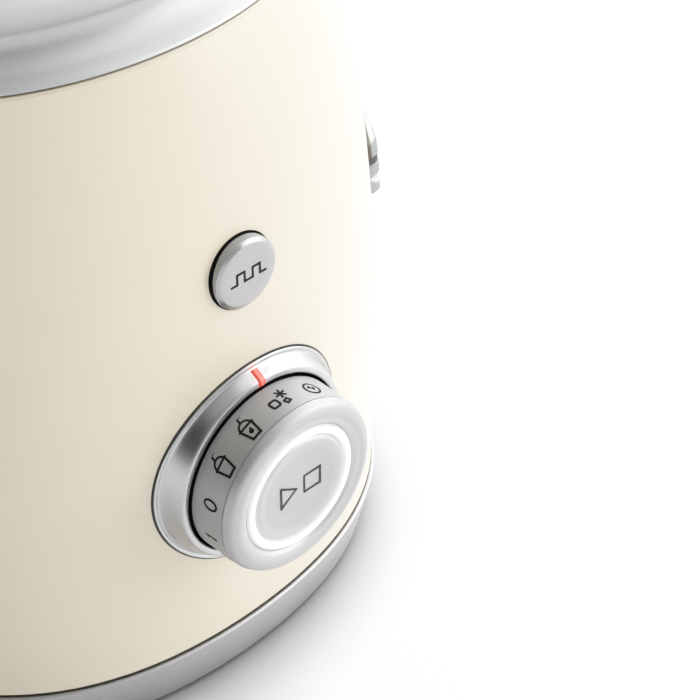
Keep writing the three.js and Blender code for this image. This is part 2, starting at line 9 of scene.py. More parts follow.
import bmesh
import bpy
import numpy as np
from mathutils import Euler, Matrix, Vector


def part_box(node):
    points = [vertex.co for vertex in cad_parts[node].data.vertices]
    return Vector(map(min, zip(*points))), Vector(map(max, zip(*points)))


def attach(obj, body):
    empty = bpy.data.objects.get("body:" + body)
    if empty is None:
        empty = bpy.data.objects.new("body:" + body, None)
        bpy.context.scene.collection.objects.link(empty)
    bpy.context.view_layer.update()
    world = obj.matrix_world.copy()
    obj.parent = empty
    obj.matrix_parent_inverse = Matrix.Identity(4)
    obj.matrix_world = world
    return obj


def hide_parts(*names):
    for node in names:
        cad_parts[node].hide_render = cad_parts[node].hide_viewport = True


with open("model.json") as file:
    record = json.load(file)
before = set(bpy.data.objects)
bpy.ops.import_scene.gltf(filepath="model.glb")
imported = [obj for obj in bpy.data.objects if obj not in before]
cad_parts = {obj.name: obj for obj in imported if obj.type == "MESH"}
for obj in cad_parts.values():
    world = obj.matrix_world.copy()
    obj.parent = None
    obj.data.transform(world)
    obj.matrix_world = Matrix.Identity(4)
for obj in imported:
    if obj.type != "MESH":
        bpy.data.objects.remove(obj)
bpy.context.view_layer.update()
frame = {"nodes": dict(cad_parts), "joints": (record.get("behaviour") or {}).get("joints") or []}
NODES = frame["nodes"]
JOINTS = {joint["name"]: joint for joint in frame["joints"]}
MM = 0.001

# ---- Camera ----


def add_camera():
    data = bpy.data.cameras.new("camera")
    data.sensor_width = 36
    data.lens = 102.2
    data.clip_end = 20
    camera = bpy.data.objects.new("camera", data)
    camera.location = (-0.2094, -0.3180, 0.3550)
    pitch, heading = math.radians(39.644), math.radians(44.965)
    camera.rotation_euler = Euler((math.pi / 2 - pitch, 0, -heading))
    bpy.context.scene.collection.objects.link(camera)
    bpy.context.scene.camera = camera


add_camera()

# ---- Driving dimensions, the same as the CAD's ----

BODY_R = 80 * MM
SQUARE_LOW, SQUARE_HIGH, SQUARE_RELIEF = -0.024, -0.016, 0.036
ROUND_WITHIN, SQUARE_BEYOND = 30 * MM, 50 * MM
BODY_WALL = 2.6 * MM
EDGE_ROLL = 0.5 * MM
GAP = 0.3 * MM
BODY_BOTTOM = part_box("body_shell")[0].z
COLLAR_DEPTH = 4.7 * MM  # how far the jug's collar reaches down into the body
BODY_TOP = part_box("jug_collar")[0].z + COLLAR_DEPTH
FLOOR_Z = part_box("foot_1")[0].z

DIAL_Z = JOINTS["dial_turn"]["pos_m"][2]
DIAL_R = 21.15 * MM
DIAL_HOLE_R = 23.6 * MM
BEZEL_R = 26.3 * MM
DIAL_SEAM = 91.9 * MM  # where the skirt meets the dial's rim, out from the motor axis
SKIRT_START = 82.62 * MM  # the skirt is painted black below this, inside the bezel: painted shade in the gap between dial and bezel
PULSE_HOLE_R = 8.55 * MM
PULSE_PAINTED_SHADE = 0.55 * MM  # how far out of the body the button's side is painted black, as painted shade in the gap round it
PULSE_FRONT = -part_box("pulse_button")[0].y
PULSE_Z = (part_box("pulse_button")[0].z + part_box("pulse_button")[1].z) / 2

JUG_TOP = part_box("jug_body")[1].z
JUG_NECK_Z, JUG_NECK_R, JUG_RIM_R = 193 * MM, 57.5 * MM, 68.5 * MM
JUG_WALL = 3 * MM
SPOUT_REACH, SPOUT_START, SPOUT_HALF_ANGLE = 13 * MM, 318 * MM, 0.42
HANDLE_LOW, HANDLE_HIGH, HANDLE_WIDTH = 204, 352, 22 * MM

ROUND = 192  # steps round a large piece


# ---- Shape helpers ----


def body_share(z):
    return np.clip((z - BODY_BOTTOM) / (BODY_TOP - BODY_BOTTOM), 0, 1)


def body_radius(z):
    """The body's radius, before its plan is squared: upright, then drawing in to the collar."""
    t = body_share(z)
    return BODY_R + (-0.1 * t + 16.5 * t**2 - 29.3 * t**3) * MM


def plan_factor(radius, angle, z):
    """How far the plan is pulled in on its four sides; pieces near the axis stay round."""
    share = np.clip((radius - ROUND_WITHIN) / (SQUARE_BEYOND - ROUND_WITHIN), 0, 1)
    share = share * share * (3 - 2 * share)
    t = body_share(z)
    pull = SQUARE_LOW + (SQUARE_HIGH - SQUARE_LOW) * t + SQUARE_RELIEF * t**2 * (1 - t)
    return 1 + pull * share * np.cos(4 * angle)


def surface_depth(across, z, offset=0.0):
    """How far out from the motor axis the body's surface is, at a place on its front."""
    depth = body_radius(z)
    for _ in range(4):
        angle = np.arctan2(-depth, across)
        radius = (body_radius(z) + offset) * plan_factor(BODY_R, angle, z)
        depth = np.sqrt(radius**2 - across**2)
    return depth


def rounded(points, steps=5):
    """A profile with its corners filleted. A point is (r, z) or (r, z, fillet), in millimetres."""
    out = []
    for i, point in enumerate(points):
        here = Vector(point[:2])
        fillet = point[2] if len(point) > 2 else 0
        if not fillet or i in (0, len(points) - 1):
            out.append(tuple(here * MM))
            continue
        before, after = Vector(points[i - 1][:2]) - here, Vector(points[i + 1][:2]) - here
        turn = math.pi - before.angle(after)
        cut = min(fillet * math.tan(turn / 2), 0.49 * before.length, 0.49 * after.length)
        start, end = here + before.normalized() * cut, here + after.normalized() * cut
        for k in range(steps + 1):
            t = k / steps
            curve = start * (1 - t) ** 2 + here * 2 * t * (1 - t) + end * t**2
            out.append(tuple(curve * MM))
    return out


def mesh_piece(name, vertices, faces, material, body, smooth=40):
    mesh = bpy.data.meshes.new(name)
    mesh.from_pydata([tuple(v) for v in vertices], [], [tuple(f) for f in faces])
    work = bmesh.new()
    work.from_mesh(mesh)
    bmesh.ops.remove_doubles(work, verts=work.verts, dist=1e-7)
    bmesh.ops.dissolve_degenerate(work, edges=work.edges, dist=1e-7)
    bmesh.ops.recalc_face_normals(work, faces=work.faces)
    work.to_mesh(mesh)
    work.free()
    mesh.polygons.foreach_set("use_smooth", [True] * len(mesh.polygons))
    mesh.set_sharp_from_angle(angle=math.radians(smooth))
    mesh.materials.append(material)
    piece = bpy.data.objects.new(name, mesh)
    bpy.context.scene.collection.objects.link(piece)
    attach(piece, body)
    return piece


def turned_mesh(profile, segments, square):
    """Vertices and faces of a profile turned round Z. It closes on the axis or on itself."""
    points = np.array(profile)
    closed = points[0, 0] > 1e-9 or points[-1, 0] > 1e-9
    angles = np.linspace(0, 2 * math.pi, segments, endpoint=False)[:, None]
    radius, height = points[None, :, 0], points[None, :, 1]
    scale = plan_factor(radius, angles, height) if square else 1.0
    x, y = radius * np.cos(angles) * scale, radius * np.sin(angles) * scale
    vertices = np.stack([x, y, np.broadcast_to(height, x.shape)], -1).reshape(-1, 3)
    count = len(points)
    faces = []
    for i in range(segments):
        j = (i + 1) % segments
        for k in range(count if closed else count - 1):
            after = (k + 1) % count
            faces.append((i * count + k, j * count + k, j * count + after, i * count + after))
    return vertices, faces


def turned(name, profile, material, body, segments=ROUND, square=False, smooth=40):
    vertices, faces = turned_mesh(profile, segments, square)
    return mesh_piece(name, vertices, faces, material, body, smooth)


def facing_front(name, profile, axis_z, material, body, segments=128, smooth=40):
    """A turned piece whose axis points out of the front; profile heights are out from the motor axis."""
    vertices, faces = turned_mesh(profile, segments, False)
    placed = np.stack([vertices[:, 0], -vertices[:, 2], vertices[:, 1] + axis_z], -1)
    return mesh_piece(name, placed, faces, material, body, smooth)


def grid_faces(rows, columns, wrap_rows=False, wrap_columns=False):
    faces = []
    for i in range(rows if wrap_rows else rows - 1):
        for j in range(columns if wrap_columns else columns - 1):
            a, b = i * columns, (i + 1) % rows * columns
            k = (j + 1) % columns
            faces.append((a + j, b + j, b + k, a + k))
    return faces


# ---- Materials ----


def new_material(name, color, metallic=0.0, roughness=0.5, **sockets):
    material = bpy.data.materials.new(name)
    material.use_nodes = True
    shader = material.node_tree.nodes["Principled BSDF"]
    shader.inputs["Base Color"].default_value = (*color, 1)
    shader.inputs["Metallic"].default_value = metallic
    shader.inputs["Roughness"].default_value = roughness
    for socket, value in sockets.items():
        shader.inputs[socket.replace("_", " ")].default_value = value
    return material


def texture_noise(material, scale, stretch=(1, 1, 1)):
    tree = material.node_tree
    place = tree.nodes.new("ShaderNodeTexCoord")
    mapping = tree.nodes.new("ShaderNodeMapping")
    mapping.inputs["Scale"].default_value = stretch
    noise = tree.nodes.new("ShaderNodeTexNoise")
    noise.inputs["Scale"].default_value = scale
    noise.inputs["Detail"].default_value = 3
    tree.links.new(place.outputs["Object"], mapping.inputs["Vector"])
    tree.links.new(mapping.outputs["Vector"], noise.inputs["Vector"])
    return noise


def vary_color(material, noise, dark, light):
    tree = material.node_tree
    ramp = tree.nodes.new("ShaderNodeValToRGB")
    ramp.color_ramp.elements[0].position = 0.35
    ramp.color_ramp.elements[0].color = (*dark, 1)
    ramp.color_ramp.elements[1].position = 0.65
    ramp.color_ramp.elements[1].color = (*light, 1)
    tree.links.new(noise.outputs["Fac"], ramp.inputs["Fac"])
    tree.links.new(ramp.outputs["Color"], tree.nodes["Principled BSDF"].inputs["Base Color"])


def vary_roughness(material, noise, low, high):
    tree = material.node_tree
    spread = tree.nodes.new("ShaderNodeMapRange")
    spread.inputs["To Min"].default_value = low
    spread.inputs["To Max"].default_value = high
    tree.links.new(noise.outputs["Fac"], spread.inputs["Value"])
    tree.links.new(spread.outputs["Result"], tree.nodes["Principled BSDF"].inputs["Roughness"])


def add_bump(material, noise, strength, distance):
    tree = material.node_tree
    bump = tree.nodes.new("ShaderNodeBump")
    bump.inputs["Strength"].default_value = strength
    bump.inputs["Distance"].default_value = distance
    tree.links.new(noise.outputs["Fac"], bump.inputs["Height"])
    tree.links.new(bump.outputs["Normal"], tree.nodes["Principled BSDF"].inputs["Normal"])


def surface(name, color, metallic, roughness, grain, grain_depth, vary=0.03, stretch=(1, 1, 1), **sockets):
    """A finish with slight colour and roughness variation and a fine grain of the given size."""
    material = new_material(name, color, metallic, roughness, **sockets)
    cloud = texture_noise(material, 45)
    dark = tuple(c * (1 - vary) for c in color)
    light = tuple(min(c * (1 + vary), 1) for c in color)
    vary_color(material, cloud, dark, light)
    vary_roughness(material, texture_noise(material, 160), roughness * 0.9, roughness * 1.1)
    add_bump(material, texture_noise(material, 1 / grain, stretch), 0.3, grain_depth)
    return material


def distance_from(material, centre, axes):
    """Node giving the distance from a point, counted along the axes whose share is 1."""
    tree = material.node_tree
    place = tree.nodes.new("ShaderNodeTexCoord")
    offset = tree.nodes.new("ShaderNodeVectorMath")
    offset.operation = "SUBTRACT"
    offset.inputs[1].default_value = centre
    kept = tree.nodes.new("ShaderNodeVectorMath")
    kept.operation = "MULTIPLY"
    kept.inputs[1].default_value = axes
    length = tree.nodes.new("ShaderNodeVectorMath")
    length.operation = "LENGTH"
    tree.links.new(place.outputs["Object"], offset.inputs[0])
    tree.links.new(offset.outputs["Vector"], kept.inputs[0])
    tree.links.new(kept.outputs["Vector"], length.inputs[0])
    return length.outputs["Value"]


def ramp_over(material, value, stops):
    """Maps a distance to colours. A stop is (millimetres, colour)."""
    tree = material.node_tree
    share = tree.nodes.new("ShaderNodeMapRange")
    share.inputs["From Min"].default_value = stops[0][0] * MM
    share.inputs["From Max"].default_value = stops[-1][0] * MM
    ramp = tree.nodes.new("ShaderNodeValToRGB")
    elements = ramp.color_ramp.elements
    while len(elements) < len(stops):
        elements.new(0.5)
    span = stops[-1][0] - stops[0][0]
    for element, (at, color) in zip(elements, stops):
        element.position = (at - stops[0][0]) / span
        element.color = (*color, 1)
    tree.links.new(value, share.inputs["Value"])
    tree.links.new(share.outputs["Result"], ramp.inputs["Fac"])
    return ramp.outputs["Color"]


# Light from the ring round the start button, by distance from the dial's axis, as spread by its lens.
# On the dial's silver (the rim, the start button's cap and the ring's sleeve) this light is painted light:
# the ring's glow falling on them.
RING_GLOW = [
    (9.5, 0), (12, 0.06), (13, 0.2), (13.5, 0.5), (13.9, 1), (14.4, 1), (15, 0.3), (15.7, 0.1), (18, 0),
]
RING_LIGHT = 2.0


def add_ring_glow(material):
    tree = material.node_tree
    distance = distance_from(material, (0, 0, DIAL_Z), (1, 0, 1))
    stops = [(at, (level, level, level)) for at, level in RING_GLOW]
    shader = tree.nodes["Principled BSDF"]
    tree.links.new(ramp_over(material, distance, stops), shader.inputs["Emission Color"])
    shader.inputs["Emission Strength"].default_value = RING_LIGHT


def add_indicator_glow(material, stops, strength):
    """Light that varies across the indicator, by distance from it; its far end is at the bezel's edge. On
    the bezel it is painted light.
    """
    tree = material.node_tree
    middle = (0, 0, DIAL_Z + (DIAL_R + BEZEL_R) / 2)
    distance = distance_from(material, middle, (1, 0, 0.25))
    shader = tree.nodes["Principled BSDF"]
    tree.links.new(ramp_over(material, distance, stops), shader.inputs["Emission Color"])
    shader.inputs["Emission Strength"].default_value = strength


def shade_creases(material, distance):
    """A darker colour in concave creases, where less light reaches the finish."""
    tree = material.node_tree
    base = tree.nodes["Principled BSDF"].inputs["Base Color"]
    crease = tree.nodes.new("ShaderNodeAmbientOcclusion")
    crease.inputs["Distance"].default_value = distance
    power = tree.nodes.new("ShaderNodeMath")
    power.operation = "POWER"
    power.inputs[1].default_value = 4
    shaded = tree.nodes.new("ShaderNodeVectorMath")
    shaded.operation = "SCALE"
    tree.links.new(crease.outputs["AO"], power.inputs[0])
    tree.links.new(base.links[0].from_socket, shaded.inputs[0])
    tree.links.new(power.outputs["Value"], shaded.inputs["Scale"])
    tree.links.new(shaded.outputs["Vector"], base)


def make_materials():
    cream = surface(
        "cream_paint", (0.725, 0.648, 0.495), 0, 0.36, 1.6 * MM, 0.003 * MM, vary=0.01, stretch=(1, 1, 0.1),
        Coat_Weight=0.7, Coat_Roughness=0.25, Coat_IOR=1.5,
    )
    materials = {
        "cream": cream,
        "satin": surface("satin_silver", (0.48, 0.48, 0.485), 1, 0.52, 0.25 * MM, 0.006 * MM),
        "collar": surface("collar_silver", (0.57, 0.57, 0.575), 0.6, 0.42, 0.25 * MM, 0.004 * MM),
        "bezel": surface("bezel_silver", (0.50, 0.50, 0.505), 1, 0.30, 0.25 * MM, 0.002 * MM),
        "dial": surface("dial_satin_silver", (0.43, 0.432, 0.44), 0.55, 0.45, 0.25 * MM, 0.003 * MM),
        "bright": surface("emblem_silver", (0.32, 0.32, 0.325), 1, 0.28, 0.5 * MM, 0.002 * MM),
        "steel": surface(
            "brushed_steel", (0.56, 0.57, 0.58), 1, 0.28, 0.2 * MM, 0.01 * MM, stretch=(1, 12, 12)
        ),
        "brass": surface("turned_brass", (0.70, 0.53, 0.27), 1, 0.3, 0.2 * MM, 0.01 * MM),
        "copper": surface(
            "enamelled_copper", (0.50, 0.20, 0.09), 0.9, 0.35, 0.8 * MM, 0.15 * MM, stretch=(0.1, 0.1, 1)
        ),
        "carbon": surface("carbon", (0.02, 0.02, 0.02), 0, 0.75, 0.2 * MM, 0.02 * MM),
        "dark": surface("dark_plastic", (0.035, 0.035, 0.038), 0, 0.45, 0.4 * MM, 0.02 * MM, vary=0.1),
        "board": surface("board_green", (0.03, 0.13, 0.06), 0, 0.4, 1 * MM, 0.02 * MM, vary=0.2),
        "rubber": surface("rubber", (0.02, 0.02, 0.021), 0, 0.75, 0.3 * MM, 0.02 * MM, vary=0.1),
        "cap": surface("button_silver", (0.37, 0.37, 0.375), 0.9, 0.27, 0.25 * MM, 0.002 * MM),
        # Black put where gaps lie in shade: painted shade.
        "black": new_material("gap_black", (0.004, 0.004, 0.004), 0, 0.8, Specular_IOR_Level=0.1),
        "ink": new_material("printed_ink", (0.006, 0.006, 0.007), 0, 0.6, Specular_IOR_Level=0.15),
        "button_ink": new_material("grey_print", (0.045, 0.045, 0.048), 0, 0.6, Specular_IOR_Level=0.15),
        "skirt": surface("dial_skirt_silver", (0.365, 0.37, 0.382), 0.45, 0.5, 0.25 * MM, 0.003 * MM),
        "clear": new_material(
            "clear_plastic", (0.97, 0.985, 0.985), 0, 0.03, IOR=1.46, Transmission_Weight=1.0
        ),
        "lit_white": new_material("lit_ring", (0.5, 0.5, 0.5), 0, 0.4),
        "lit_red": new_material("lit_red", (0.45, 0.03, 0.02), 0, 0.3),
    }
    shade_creases(materials["collar"], 5 * MM)
    # The dial's silver glows near the ring: painted light.
    add_ring_glow(materials["dial"])
    add_ring_glow(materials["lit_white"])
    red = [
        (0, (1, 0.36, 0.30)), (0.4, (0.95, 0.22, 0.17)),
        (0.62, (0.62, 0.03, 0.02)), (1.3, (0.5, 0.01, 0.01)),
    ]
    add_indicator_glow(materials["lit_red"], red, 1.0)
    painted_halo = [(0.85, (1, 0.45, 0.40)), (1.6, (0.35, 0.22, 0.21)), (3.4, (0, 0, 0))]
    # The bezel glows red round the slot: painted light from the indicator.
    add_indicator_glow(materials["bezel"], painted_halo, 0.45)
    return materials


M = make_materials()

# ---- Body shell ----


def body_profile():
    """Outer wall with rolled edges, then the inner wall back down, in metres."""
    low, high, roll = BODY_BOTTOM, BODY_TOP - GAP, EDGE_ROLL
    heights = np.linspace(low + roll, high - roll, 90)
    outer = [(body_radius(z), z) for z in heights]
    edge = np.radians(np.linspace(-80, 0, 8))[:-1]
    bottom = [(body_radius(low) - roll * (1 - math.cos(a)), low + roll * (1 + math.sin(a))) for a in edge]
    top_edge = np.radians(np.linspace(0, 80, 8))[1:]
    top = [(body_radius(high) - roll * (1 - math.cos(a)), high - roll * (1 - math.sin(a))) for a in top_edge]
    inner = [(body_radius(z) - BODY_WALL, z) for z in np.linspace(high, low, 24)]
    return bottom + outer + top + inner


def cut_hole(piece, radius, axis_z):
    """Cuts a round hole through the front wall."""
    bpy.ops.mesh.primitive_cylinder_add(
        vertices=96, radius=radius, depth=40 * MM, location=(0, -78 * MM, axis_z),
        rotation=(math.pi / 2, 0, 0),
    )
    cutter = bpy.context.object
    modifier = piece.modifiers.new("hole", "BOOLEAN")
    modifier.object = cutter
    modifier.operation = "DIFFERENCE"
    modifier.solver = "EXACT"
    bpy.context.view_layer.objects.active = piece
    bpy.ops.object.modifier_apply(modifier=modifier.name)
    bpy.data.objects.remove(cutter)


def wall_point(angle, z):
    radius = body_radius(z) * plan_factor(BODY_R, angle, z)
    return Vector((radius * math.cos(angle), radius * math.sin(angle), z))


def set_outer_normals(mesh):
    """Gives the outer wall the true surface's normals, so that the holes leave no marks in the gloss."""
    turn, rise = 1e-3, 0.05 * MM
    normals = [Vector(corner.vector) for corner in mesh.corner_normals]
    for polygon in mesh.polygons:
        for loop in polygon.loop_indices:
            co = mesh.vertices[mesh.loops[loop].vertex_index].co
            if not BODY_BOTTOM + EDGE_ROLL <= co.z <= BODY_TOP - GAP - EDGE_ROLL:
                continue
            angle = math.atan2(co.y, co.x)
            if abs(wall_point(angle, co.z).length - co.length) > 0.05 * MM:
                continue
            across = wall_point(angle + turn, co.z) - wall_point(angle - turn, co.z)
            up = wall_point(angle, co.z + rise) - wall_point(angle, co.z - rise)
            true = across.cross(up).normalized()
            if polygon.normal.dot(true) > 0.9:
                normals[loop] = true
    mesh.normals_split_custom_set(normals)


def add_body():
    shell = turned("body_shell_paint", body_profile(), M["cream"], "base", segments=256, square=True)
    cut_hole(shell, DIAL_HOLE_R, DIAL_Z)
    cut_hole(shell, PULSE_HOLE_R, PULSE_Z)
    shell.data.polygons.foreach_set("use_smooth", [True] * len(shell.data.polygons))
    shell.data.set_sharp_from_angle(angle=math.radians(40))
    set_outer_normals(shell.data)
    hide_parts("body_shell")


add_body()


def add_base_ring():
    profile = rounded([
        (73.4, 0.3), (77.4, 0.0, 0.4), (78.1, 0.1, 0.5), (80.9, 13.1, 0.25), (80.5, 13.5, 0.2),
        (80.0, 13.5, 0.2), (79.6, 12.6, 0.2), (76.6, 12.6, 0.2), (76.4, 19, 0.3), (73.4, 19),
    ])
    ring = turned("base_ring_metal", profile, M["satin"], "base", segments=256, square=True, smooth=30)
    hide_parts("base_ring")


add_base_ring()


# ---- Dial and its bezel ----


def bezel_edge(turn):
    """How far out the bezel's outer edge lies, just clear of the painted surface it follows."""
    return surface_depth(BEZEL_R * math.cos(turn), DIAL_Z + BEZEL_R * math.sin(turn)) + 0.35 * MM


def bezel_section(turn):
    """One slice, from the hole outward: a raised lip, a flare falling away to it, and a low outer bead."""
    lip, foot = 23.0 * MM, 25.4 * MM
    edge = bezel_edge(turn)
    section = [(r * MM, d * MM) for r, d in (
        (21.6, 70), (21.6, 81.6), (21.66, 82.05), (21.87, 82.36), (22.3, 82.5), (23.0, 82.38),
    )]
    drop = section[-1][1] - edge - 0.12 * MM
    for share in np.linspace(0.1, 1, 10):
        height = 0.5 + 0.5 * math.cos(math.pi * share)
        section.append((lip + (foot - lip) * share, edge + 0.12 * MM + drop * height))
    section += [(r * MM, edge + lift * MM) for r, lift in (
        (25.75, 0.3), (26.0, 0.34), (26.2, 0.22), (26.3, 0.02), (26.3, -0.1),
    )]
    return section + [(23.4 * MM, edge - 0.1 * MM), (23.2 * MM, 70 * MM)]


def around_dial(section, turn):
    return [(r * math.cos(turn), -d, DIAL_Z + r * math.sin(turn)) for r, d in section]


def add_bezel():
    """A satin flare between the dial and the body, with a thin black gasket under its outer edge."""
    turns = np.linspace(0, 2 * math.pi, ROUND, endpoint=False)
    vertices = [point for turn in turns for point in around_dial(bezel_section(turn), turn)]
    faces = grid_faces(ROUND, len(vertices) // ROUND, wrap_rows=True, wrap_columns=True)
    bezel = mesh_piece("bezel_flare", vertices, faces, M["bezel"], "base", smooth=50)
    bezel.data.materials.append(M["black"])
    # The bezel's wall beside the dial takes the black: painted shade in the gap between bezel and dial.
    wall_beside_dial = 21.65 * MM
    for polygon in bezel.data.polygons:
        if math.hypot(polygon.center.x, polygon.center.z - DIAL_Z) < wall_beside_dial:
            polygon.material_index = 1
    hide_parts("dial_bezel")

    vertices = []
    for turn in turns:
        edge = bezel_edge(turn)
        vertices += around_dial([
            (26.35 * MM, edge - 0.02 * MM), (26.6 * MM, edge - 0.08 * MM), (26.65 * MM, edge - 0.45 * MM),
            (26.35 * MM, edge - 0.45 * MM),
        ], turn)
    faces = grid_faces(ROUND, 4, wrap_rows=True, wrap_columns=True)
    mesh_piece("bezel_gasket", vertices, faces, M["rubber"], "base")


def add_indicator():
    """The red lit slot across the top of the bezel, which the selected symbol points at."""
    section = [(r, d) for r, d in bezel_section(math.pi / 2) if d > 79 * MM and r < 25.1 * MM][1:]
    distance = np.cumsum([0] + [math.dist(a, b) for a, b in zip(section, section[1:])])
    length, half = distance[-1], 0.85 * MM
    rows, columns = 28, 13
    vertices = []
    for i in range(rows):
        along = length * (1 - math.cos(math.pi * i / (rows - 1))) / 2
        r = np.interp(along, distance, [p[0] for p in section])
        d = np.interp(along, distance, [p[1] for p in section])
        end = min(along, length - along)
        width = half * math.sqrt(max(1 - (1 - min(end / (1.3 * half), 1)) ** 2, 0.02))
        for j in range(columns):
            across = -1 + 2 * j / (columns - 1)
            crown = (0.08 + 0.26 * math.sqrt(1 - 0.95 * across**2)) * MM
            vertices.append((width * across, -(d + crown * 0.8), DIAL_Z + r + crown * 0.6))
    top = len(vertices)
    vertices += [(x, y + 0.7 * MM, z - 0.4 * MM) for x, y, z in vertices]
    faces = grid_faces(rows, columns)
    faces += [tuple(top + k for k in reversed(face)) for face in faces]
    rim = list(range(columns)) + [i * columns + columns - 1 for i in range(1, rows)]
    rim += [(rows - 1) * columns + j for j in range(columns - 2, -1, -1)]
    rim += [i * columns for i in range(rows - 2, 0, -1)]
    faces += [(a, b, top + b, top + a) for a, b in zip(rim, rim[1:] + rim[:1])]
    lens = mesh_piece("indicator_lens", vertices, faces, M["lit_red"], "base", smooth=60)
    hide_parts("dial_light")


def add_dial():
    profile = rounded([
        (12.4, 64), (14.4, 64), (14.4, 84.5), (18.9, 84.5), (19.1, 66), (21.0, 66), (21.0, 82.6),
        (21.15, 82.65), (20.98, 91.45, 0.1), (20.7, 91.55, 0.1), (20.7, 91.75, 0.1), (20.98, 91.85, 0.1),
        (20.95, 92.2, 0.8), (20.3, 93.7, 2.2), (18.4, 94.45, 2.2), (16.3, 94.0, 1.2), (15.6, 93.2, 0.4),
        (15.5, 88, 0.3), (12.4, 88),
    ])
    dial = facing_front("dial_knob", profile, DIAL_Z, M["dial"], "dial", segments=192, smooth=35)
    dial.data.materials.append(M["skirt"])
    dial.data.materials.append(M["black"])
    # The skirt's foot, inside the bezel, takes the black: painted shade in the gap.
    for polygon in dial.data.polygons:
        from_axis = math.hypot(polygon.center.x, polygon.center.z - DIAL_Z)
        if from_axis > DIAL_R - 0.55 * MM and polygon.center.y > -DIAL_SEAM:
            polygon.material_index = 2 if polygon.center.y > -SKIRT_START else 1
    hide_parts("program_dial")

    ring = rounded([
        (12.3, 88.4), (15.05, 88.4), (15.05, 93.4, 0.3), (14.7, 93.95, 0.5), (13.75, 93.95, 0.5),
        (13.2, 93.5, 0.3), (13.2, 90), (12.3, 90),
    ])
    lit = facing_front("lit_ring", ring, DIAL_Z, M["lit_white"], "base", segments=160)
    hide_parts("light_ring")
    sleeve = [(15.1 * MM, 89 * MM), (15.3 * MM, 89 * MM), (15.3 * MM, 93.3 * MM), (15.1 * MM, 93.3 * MM)]
    facing_front("lit_ring_sleeve", sleeve, DIAL_Z, M["dial"], "base", segments=160)

    face = rounded([(0, 64), (8.8, 64, 0.3), (8.8, 92.2), (12.9, 92.2, 0.2), (12.9, 93.1, 0.5),
                    (12.2, 93.85, 1.0), (10.6, 93.6, 1.4), (7, 93.2, 3), (0, 93.1)])
    button = facing_front("start_button_cap", face, DIAL_Z, M["dial"], "start_button", segments=128)
    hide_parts("start_stop_button")


def add_pulse_button():
    """A domed silver cap whose side is painted black up to the front's slope: painted shade in the gap round
    it.
    """
    front = PULSE_FRONT / MM
    side = [(8.2, depth) for depth in np.arange(front - 3, front - 1.1, 0.1)]
    cap = rounded([
        (0, 64.5), (5, 64.5), (5, 70), (8.2, 70, 0.3), *side, (8.15, front - 0.85, 0.4),
        (7.3, front - 0.25, 0.9), (5.8, front - 0.06, 2), (0, front),
    ])
    button = facing_front("pulse_button_cap", cap, PULSE_Z, M["cap"], "pulse_button", segments=128)
    button.data.materials.append(M["black"])
    button.data.materials.append(M["skirt"])
    for polygon in button.data.polygons:
        # The side next to the body takes the black: painted shade in the gap round the button.
        if -polygon.center.y < surface_depth(0, polygon.center.z) + PULSE_PAINTED_SHADE:
            polygon.material_index = 1
        elif math.hypot(polygon.center.x, polygon.center.z - PULSE_Z) > 8.1 * MM:
            polygon.material_index = 2
    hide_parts("pulse_button")


add_bezel()
add_indicator()
add_dial()
add_pulse_button()

# ---- Symbols ----


def circle(cx, cy, rx, ry=None, steps=24, start=0, end=360):
    ry = rx if ry is None else ry
    turns = np.radians(np.linspace(start, end, steps + 1))
    return [(cx + rx * math.cos(t), cy + ry * math.sin(t)) for t in turns]


def dense(points, step=0.3):
    out = [points[0]]
    for (x0, y0), (x1, y1) in zip(points, points[1:]):
        count = max(1, int(math.hypot(x1 - x0, y1 - y0) / step))
        out += [(x0 + (x1 - x0) * k / count, y0 + (y1 - y0) * k / count) for k in range(1, count + 1)]
    return out


def stroke_mesh(points, width, place, thick=0.07):
    """One inked line as a thin closed strip. place maps (across, up, height) in mm to metres."""
    closed = math.dist(points[0], points[-1]) < 1e-6
    path = np.array(dense(points))
    if closed:
        path = path[:-1]
        ahead, behind = np.roll(path, -1, 0), np.roll(path, 1, 0)
    else:
        ahead, behind = np.vstack([path[1:], path[-1]]), np.vstack([path[0], path[:-1]])
    first, second = path - behind, ahead - path
    first[np.linalg.norm(first, axis=1) < 1e-9] = second[np.linalg.norm(first, axis=1) < 1e-9]
    second[np.linalg.norm(second, axis=1) < 1e-9] = first[np.linalg.norm(second, axis=1) < 1e-9]
    first /= np.linalg.norm(first, axis=1)[:, None]
    second /= np.linalg.norm(second, axis=1)[:, None]
    tangent = first + second
    tangent /= np.linalg.norm(tangent, axis=1)[:, None]
    normal = np.stack([-tangent[:, 1], tangent[:, 0]], -1)
    mitre = np.clip(1 / np.maximum((tangent * second).sum(1), 0.5), 1, 1.6)[:, None]
    left, right = path + normal * mitre * width / 2, path - normal * mitre * width / 2
    vertices = []
    for (lx, ly), (rx, ry) in zip(left, right):
        vertices += [place(lx, ly, thick), place(rx, ry, thick), place(rx, ry, -0.1), place(lx, ly, -0.1)]
    faces = grid_faces(len(path), 4, wrap_rows=closed, wrap_columns=True)
    if not closed:
        last = 4 * (len(path) - 1)
        faces += [(0, 1, 2, 3), (last + 3, last + 2, last + 1, last)]
    return vertices, faces


def symbol_piece(name, strokes, material, body):
    """Joins strokes, each (points, width, place), into one piece."""
    vertices, faces = [], []
    for points, width, place in strokes:
        more, shapes = stroke_mesh(points, width, place)
        faces += [tuple(len(vertices) + k for k in face) for face in shapes]
        vertices += more
    mesh_piece(name, vertices, faces, material, body, smooth=30)


